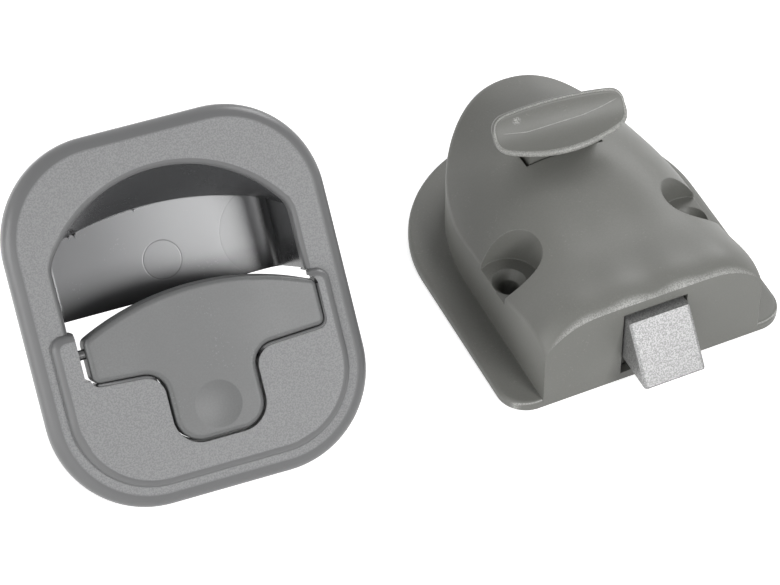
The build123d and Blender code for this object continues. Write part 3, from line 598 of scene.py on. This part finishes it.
def on_the_handle(tree, place):
    """Object coordinates turned onto the handle: x across, y up the plate, z out of its face, in millimetres."""
    turn = Matrix((handle_x, handle_up, handle_face)) * 1000.0
    start = -(turn @ handle_middle)
    node = tree.nodes.new("ShaderNodeMapping")
    node.inputs["Location"].default_value = start
    node.inputs["Rotation"].default_value = (turn * 0.001).to_euler()
    node.inputs["Scale"].default_value = (1000.0, 1000.0, 1000.0)
    tree.links.new(place.outputs["Object"], node.inputs["Vector"])
    apart = tree.nodes.new("ShaderNodeSeparateXYZ")
    tree.links.new(node.outputs["Vector"], apart.inputs["Vector"])
    return apart.outputs


bezel_abs, bezel_shader, bezel_place, bezel_skin, _, bezel_bump = moulded_plastic(
    "bezel_abs", bezel_colour, roughness=0.42, grains=2900.0, depth=0.00006, speckle=0.1, flow=0.03, rubbed=0.25,
    edge=0.0003,
)
bezel_tree = bezel_abs.node_tree
bezel_flat = facing(bezel_tree, bezel_place, handle_face, flat_none, flat_full)
flat_light = tuple(c * 1.13 for c in bezel_colour)
flat_dark = tuple(c * 0.87 for c in bezel_colour)
flat_speckled = blended(bezel_tree, bezel_skin.outputs["Speckle"], flat_dark, flat_light)
# Painted shade: the surfaces that turn away from the face take this darker colour.
turned_away_shade_colour = tuple(c * 0.6 for c in bezel_colour)
bezel_tree.links.new(blended(bezel_tree, bezel_flat, turned_away_shade_colour, flat_speckled), bezel_shader.inputs["Base Color"])
bezel_tree.links.new(
    sums(bezel_tree, "MULTIPLY", bezel_skin.outputs["Height"], bezel_flat), bezel_bump.inputs["Height"]
)
bezel_tree.links.new(
    stretched(bezel_tree, bezel_flat, 0.0, 1.0, 0.34, 0.52), bezel_shader.inputs["Roughness"]
)
coat_nodes(bezel_abs, "handle_bezel")

# A thin ledge stands in the lever's seam, low round the stem and high under the head, so that no dust falls through.
# It is moulded with the bezel. Its sides lie off the lever's outline by a gap at the stem and one under the head.
ledge_foot = 0.05
low_ledge_top = 0.55
high_ledge_top = 6.9
ledge_clear_of_lever = (0.14, 0.2)
ledge_in_the_wall = (0.65, 0.95)
seam_corners = np.array([
    (-24.5, -11.2), (-9.65, -12.4), (-9.65, -29.6), (11.1, -29.6), (11.1, -12.4), (28.9, -11.6), (28.9, -2.4),
])


def on_plate(x, y, z):
    """Points of the handle's own frame, given in millimetres, as rows of x, y and z in metres."""
    turn = np.array((handle_x, handle_up, handle_face))
    return np.stack((x, y, z), axis=-1) * 0.001 @ turn + np.array(handle_middle)


def round_the_lever(gap, gap_under, steps=9):
    """The lever's outline from the left end of its head, round the stem, to its right end, moved out by gap, or by
    gap_under below the head. Every corner is an arc that touches both runs, swept in equal steps."""
    shift = np.array([
        (0, -gap_under), (-gap, -gap_under), (-gap, -gap), (gap, -gap), (gap, -gap_under), (gap, -gap_under), (gap, 0),
    ])
    corners = seam_corners + shift
    radii = np.array((5.0 - gap, 6.0 + gap, 6.0 + gap, 5.0 - gap, 1.8 + gap))
    before, corner, after = corners[:-2], corners[1:-1], corners[2:]
    back = (before - corner) / np.linalg.norm(before - corner, axis=1)[:, None]
    on = (after - corner) / np.linalg.norm(after - corner, axis=1)[:, None]
    half_angle = np.arccos((back * on).sum(axis=1)) / 2
    centre_dir = (back + on) / np.linalg.norm(back + on, axis=1)[:, None]
    centre = corner + centre_dir * (radii / np.sin(half_angle))[:, None]
    start = corner + back * (radii / np.tan(half_angle))[:, None] - centre
    end = corner + on * (radii / np.tan(half_angle))[:, None] - centre
    share = np.linspace(0.0, 1.0, steps)[None, :, None]
    sweep = (math.pi - 2 * half_angle)[:, None, None]
    arc = (start[:, None] * np.sin((1 - share) * sweep) + end[:, None] * np.sin(share * sweep)) / np.sin(sweep)
    return np.vstack((corners[:1], (centre[:, None] + arc).reshape(-1, 2), corners[-1:]))


def seam_ledge():
    """A strip carried along the seam: its inner side stays clear of the lever, its outer side runs into the bezel's
    wall, and each end closes to a point. It is low round the stem and high under the head."""
    inner, outer = round_the_lever(*ledge_clear_of_lever), round_the_lever(*ledge_in_the_wall)
    ledge_top = np.interp(inner[:, 1], (-15.0, -13.0), (low_ledge_top, high_ledge_top))
    ring = np.stack(
        [
            on_plate(side[:, 0], side[:, 1], np.zeros(len(side)) + height)
            for side, height in ((inner, ledge_foot), (inner, ledge_top), (outer, ledge_top), (outer, ledge_foot))
        ],
        axis=1,
    )
    first = np.repeat(ring[:1].mean(axis=1, keepdims=True), 4, axis=1)
    last = np.repeat(ring[-1:].mean(axis=1, keepdims=True), 4, axis=1)
    return np.concatenate((first, ring, last))


bezel_ledge = grid_mesh("bezel_seam_ledge", seam_ledge(), bezel_abs, closed_across=True)
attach(bezel_ledge, "root")


# Finger cup behind the arch. It is a separate thin moulding that was polished inside, so its back mirrors the
# room. Its colour holds painted light and shade: the walls and the back's lower edge are painted dark, and the
# back is painted lighter from left to right. An ejector pin left its ring on the back, a gate left an arc beside
# it, and flash stands along the upper edge of the back where the mould closed.
cup_back_z = -19.5
ejector_middle = (1.3, 9.5)
ejector_radius = 4.5
ejector_width = 0.22
gate_middle = (26.0, 10.0)
gate_radius = 10.5
gate_width = 0.2
gate_share = 0.35
line_share = 0.6
line_depth = 4.0
line_colour = (0.12, 0.12, 0.12)
cup_painted_shade = (0.05, 0.051, 0.053)
cup_back_left_painted_shade = (0.22, 0.222, 0.229)
cup_back_right_painted_light = (0.42, 0.424, 0.435)
cup_abs, cup_shader, cup_place, cup_skin, _, cup_bump = moulded_plastic(
    "cup_abs", (0.3, 0.303, 0.31), roughness=0.24, grains=900.0, depth=0.000004, speckle=0.02, flow=0.03, rubbed=0.4
)
cup_tree = cup_abs.node_tree
cup_x, cup_y, _ = on_the_handle(cup_tree, cup_place)
cup_on_back = facing(cup_tree, cup_place, handle_face, 0.8, 0.97)


def ring_mask(tree, x, y, middle, radius, width):
    """1 on a thin ring about a middle in the handle's own x and y, fading over its width."""
    side = sums(tree, "SUBTRACT", x, middle[0])
    rise = sums(tree, "SUBTRACT", y, middle[1])
    squares = sums(tree, "ADD", sums(tree, "MULTIPLY", side, side), sums(tree, "MULTIPLY", rise, rise))
    off = sums(tree, "ABSOLUTE", sums(tree, "SUBTRACT", sums(tree, "SQRT", squares), radius))
    return stretched(tree, off, 0.0, width, 1.0, 0.0)


ejector_ring = ring_mask(cup_tree, cup_x, cup_y, ejector_middle, ejector_radius, ejector_width)
gate_ring = ring_mask(cup_tree, cup_x, cup_y, gate_middle, gate_radius, gate_width)
gate_arc = sums(cup_tree, "MULTIPLY", gate_ring, gate_share)
cup_lines = sums(cup_tree, "MAXIMUM", ejector_ring, gate_arc)
cup_lines = sums(cup_tree, "MULTIPLY", cup_lines, cup_on_back)
# Painted shade towards the back's lower edge and on the walls, and painted light growing from left to right.
back_above_painted_shade = stretched(cup_tree, cup_y, 1.5, 9.0)
back_painted_light_share = sums(cup_tree, "MULTIPLY", back_above_painted_shade, cup_on_back)
back_painted_light_tone = blended(cup_tree, stretched(cup_tree, cup_x, -16.0, 12.0), cup_back_left_painted_shade, cup_back_right_painted_light)
cup_painted_light_tone = blended(cup_tree, back_painted_light_share, cup_painted_shade, back_painted_light_tone)
cup_painted_light_and_marks = blended(cup_tree, sums(cup_tree, "MULTIPLY", cup_lines, line_share), cup_painted_light_tone, line_colour)
cup_tree.links.new(cup_painted_light_and_marks, cup_shader.inputs["Base Color"])
cup_grooves = sums(cup_tree, "MULTIPLY", cup_lines, line_depth)
cup_relief = sums(cup_tree, "SUBTRACT", cup_skin.outputs["Height"], cup_grooves)
cup_tree.links.new(cup_relief, cup_bump.inputs["Height"])
coat_nodes(cup_abs, "finger_cup")

flash_from = -26.0
flash_to = 4.0
back_edge_top = 22.6
back_edge_end = 17.5
back_edge_rise = back_edge_top - back_edge_end
back_edge_half = 27.4
back_edge_radius = (back_edge_half ** 2 + back_edge_rise ** 2) / (2 * back_edge_rise)


def cup_flash():
    """A thin fin carried along the arc where back and top of the cup meet. It leans out of the corner, and its
    height is a wavering sum of sines with three torn spikes, each a bell curve, that fades at both ends."""
    x = np.linspace(flash_from, flash_to, 481)
    y = back_edge_top - back_edge_radius + np.sqrt(back_edge_radius ** 2 - x ** 2)
    ripple = np.abs(np.sin(x * 5.3) * np.sin(x * 1.7 + 0.6) + 0.4 * np.sin(x * 13.1))
    torn = 1.5 * np.exp(-((x + 17.2) / 0.35) ** 2) + 1.0 * np.exp(-((x + 18.6) / 0.2) ** 2)
    torn += 0.9 * np.exp(-((x + 2.6) / 0.25) ** 2)
    fade = np.clip(np.minimum(x - flash_from, flash_to - x) / 3.0, 0.0, 1.0)
    tip = (0.1 + 0.16 * ripple + torn) * fade
    thick = 0.05 + 0.03 * fade
    foot = np.zeros_like(x) + cup_back_z - 0.05
    rows = [
        on_plate(x, y + 0.05, foot),
        on_plate(x + 0.2 * tip, y - 0.7 * tip, cup_back_z + 0.2 * tip),
        on_plate(x + 0.2 * tip, y - 0.7 * tip - thick, cup_back_z + 0.2 * tip - thick),
        on_plate(x, y - 2 * thick, foot),
    ]
    ring = np.stack(rows, axis=1)
    first = np.repeat(ring[:1].mean(axis=1, keepdims=True), 4, axis=1)
    last = np.repeat(ring[-1:].mean(axis=1, keepdims=True), 4, axis=1)
    return np.concatenate((first, ring, last))


# The flash is coloured much paler than the cup: a painted highlight on the fin.
flash_painted_highlight = moulded_plastic(
    "flash_painted_highlight", (0.72, 0.72, 0.73), roughness=0.4, grains=2300.0, depth=0.000005, speckle=0.1, flow=0.05, rubbed=0.6
)[0]
cup_edge_flash = grid_mesh("cup_edge_flash", cup_flash(), flash_painted_highlight, closed_across=True)
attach(cup_edge_flash, "root")


# Rocker lever and its pin. The lever is moulded in the bezel's plastic, but from a plain satin mould, and hands
# have rubbed its head. The pin is blackened steel.
lever_abs = moulded_plastic(
    "lever_abs", (0.165, 0.168, 0.168), roughness=0.42, grains=2600.0, depth=0.00001, speckle=0.05, flow=0.07,
    rubbed=0.45, edge=0.0003,
)[0]
coat_nodes(lever_abs, "rocker_lever")
black_steel = bare_metal(
    "black_steel", (0.1, 0.1, 0.1), roughness=0.36, grains=1600.0, depth=0.000005, speckle=0.15
)
coat_nodes(black_steel, "lever_pin")


# Drive sleeve on its plate with two screws, and the plunger with its clip and spring, all behind the lever. The
# sleeve and the plunger are moulded in a darker nylon, the screws are zinc plated and the clip is spring steel.
sleeve_nylon = moulded_plastic(
    "sleeve_nylon", (0.07, 0.07, 0.068), roughness=0.44, grains=1700.0, depth=0.000012, speckle=0.08, flow=0.06,
    rubbed=0.3,
)[0]
coat_nodes(sleeve_nylon, "drive_sleeve")
plunger_nylon = moulded_plastic(
    "plunger_nylon", (0.1, 0.1, 0.098), roughness=0.36, grains=2000.0, depth=0.000006, speckle=0.06, flow=0.06,
    rubbed=0.5,
)[0]
coat_nodes(plunger_nylon, "drive_plunger")
coat_nodes(zinc_plate, "sleeve_screws")
coat_nodes(spring_wire, "plunger_clip", "plunger_spring")


# Threaded inserts in the two posts. They are turned from brass and pressed in warm.
insert_brass = bare_metal(
    "insert_brass", (0.72, 0.53, 0.26), roughness=0.28, grains=1500.0, depth=0.000005, speckle=0.1
)
coat_nodes(insert_brass, "left_insert", "right_insert")


# The picture is shown without any film look.
bpy.context.scene.view_settings.view_transform = "Standard"
